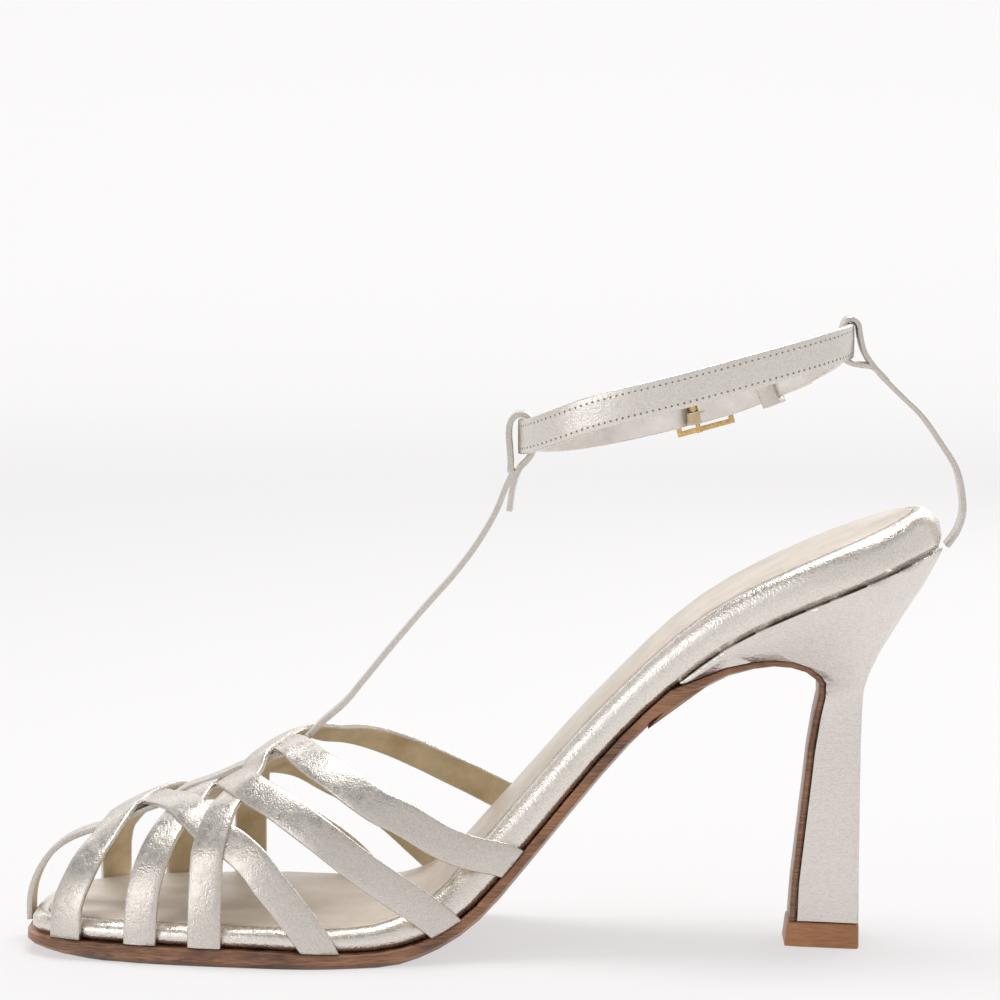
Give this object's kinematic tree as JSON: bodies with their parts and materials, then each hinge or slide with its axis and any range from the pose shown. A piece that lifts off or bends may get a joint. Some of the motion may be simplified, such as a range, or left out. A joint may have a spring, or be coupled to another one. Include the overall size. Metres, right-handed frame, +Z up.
{
  "type": "strappy heeled sandal",
  "caption": "Strappy open sandal with crossed vamp straps, a T-strap, a buckled ankle strap and a slim high heel; empty, standing on its sole.",
  "frame": {"origin": "on the floor under the middle of the forefoot tread", "axes": "+Z up; the toe points to -X, the heel to +X; the inner (medial) side faces -Y"},
  "size_m": [0.2268, 0.0803, 0.152],
  "materials": {
    "outsole": "smooth, sealed edge",
    "metallic_leather": "pale metallic, fine grain",
    "sock_leather": "soft metallic lining",
    "heel_cover": "pale metallic, stretched grain",
    "heel_tip": "matt",
    "buckle_metal": "polished, pale gold plated"
  },
  "bodies": {
    "root": {"outsole": "outsole", "insole": "metallic_leather", "sock": "sock_leather", "heel": "heel_cover", "heel_tip": "heel_tip", "upper": "metallic_leather", "back_strap": "metallic_leather", "ankle_strap": "metallic_leather", "buckle_frame": "buckle_metal", "buckle_prong": "buckle_metal", "keeper": "metallic_leather"}
  },
  "joints": []
}
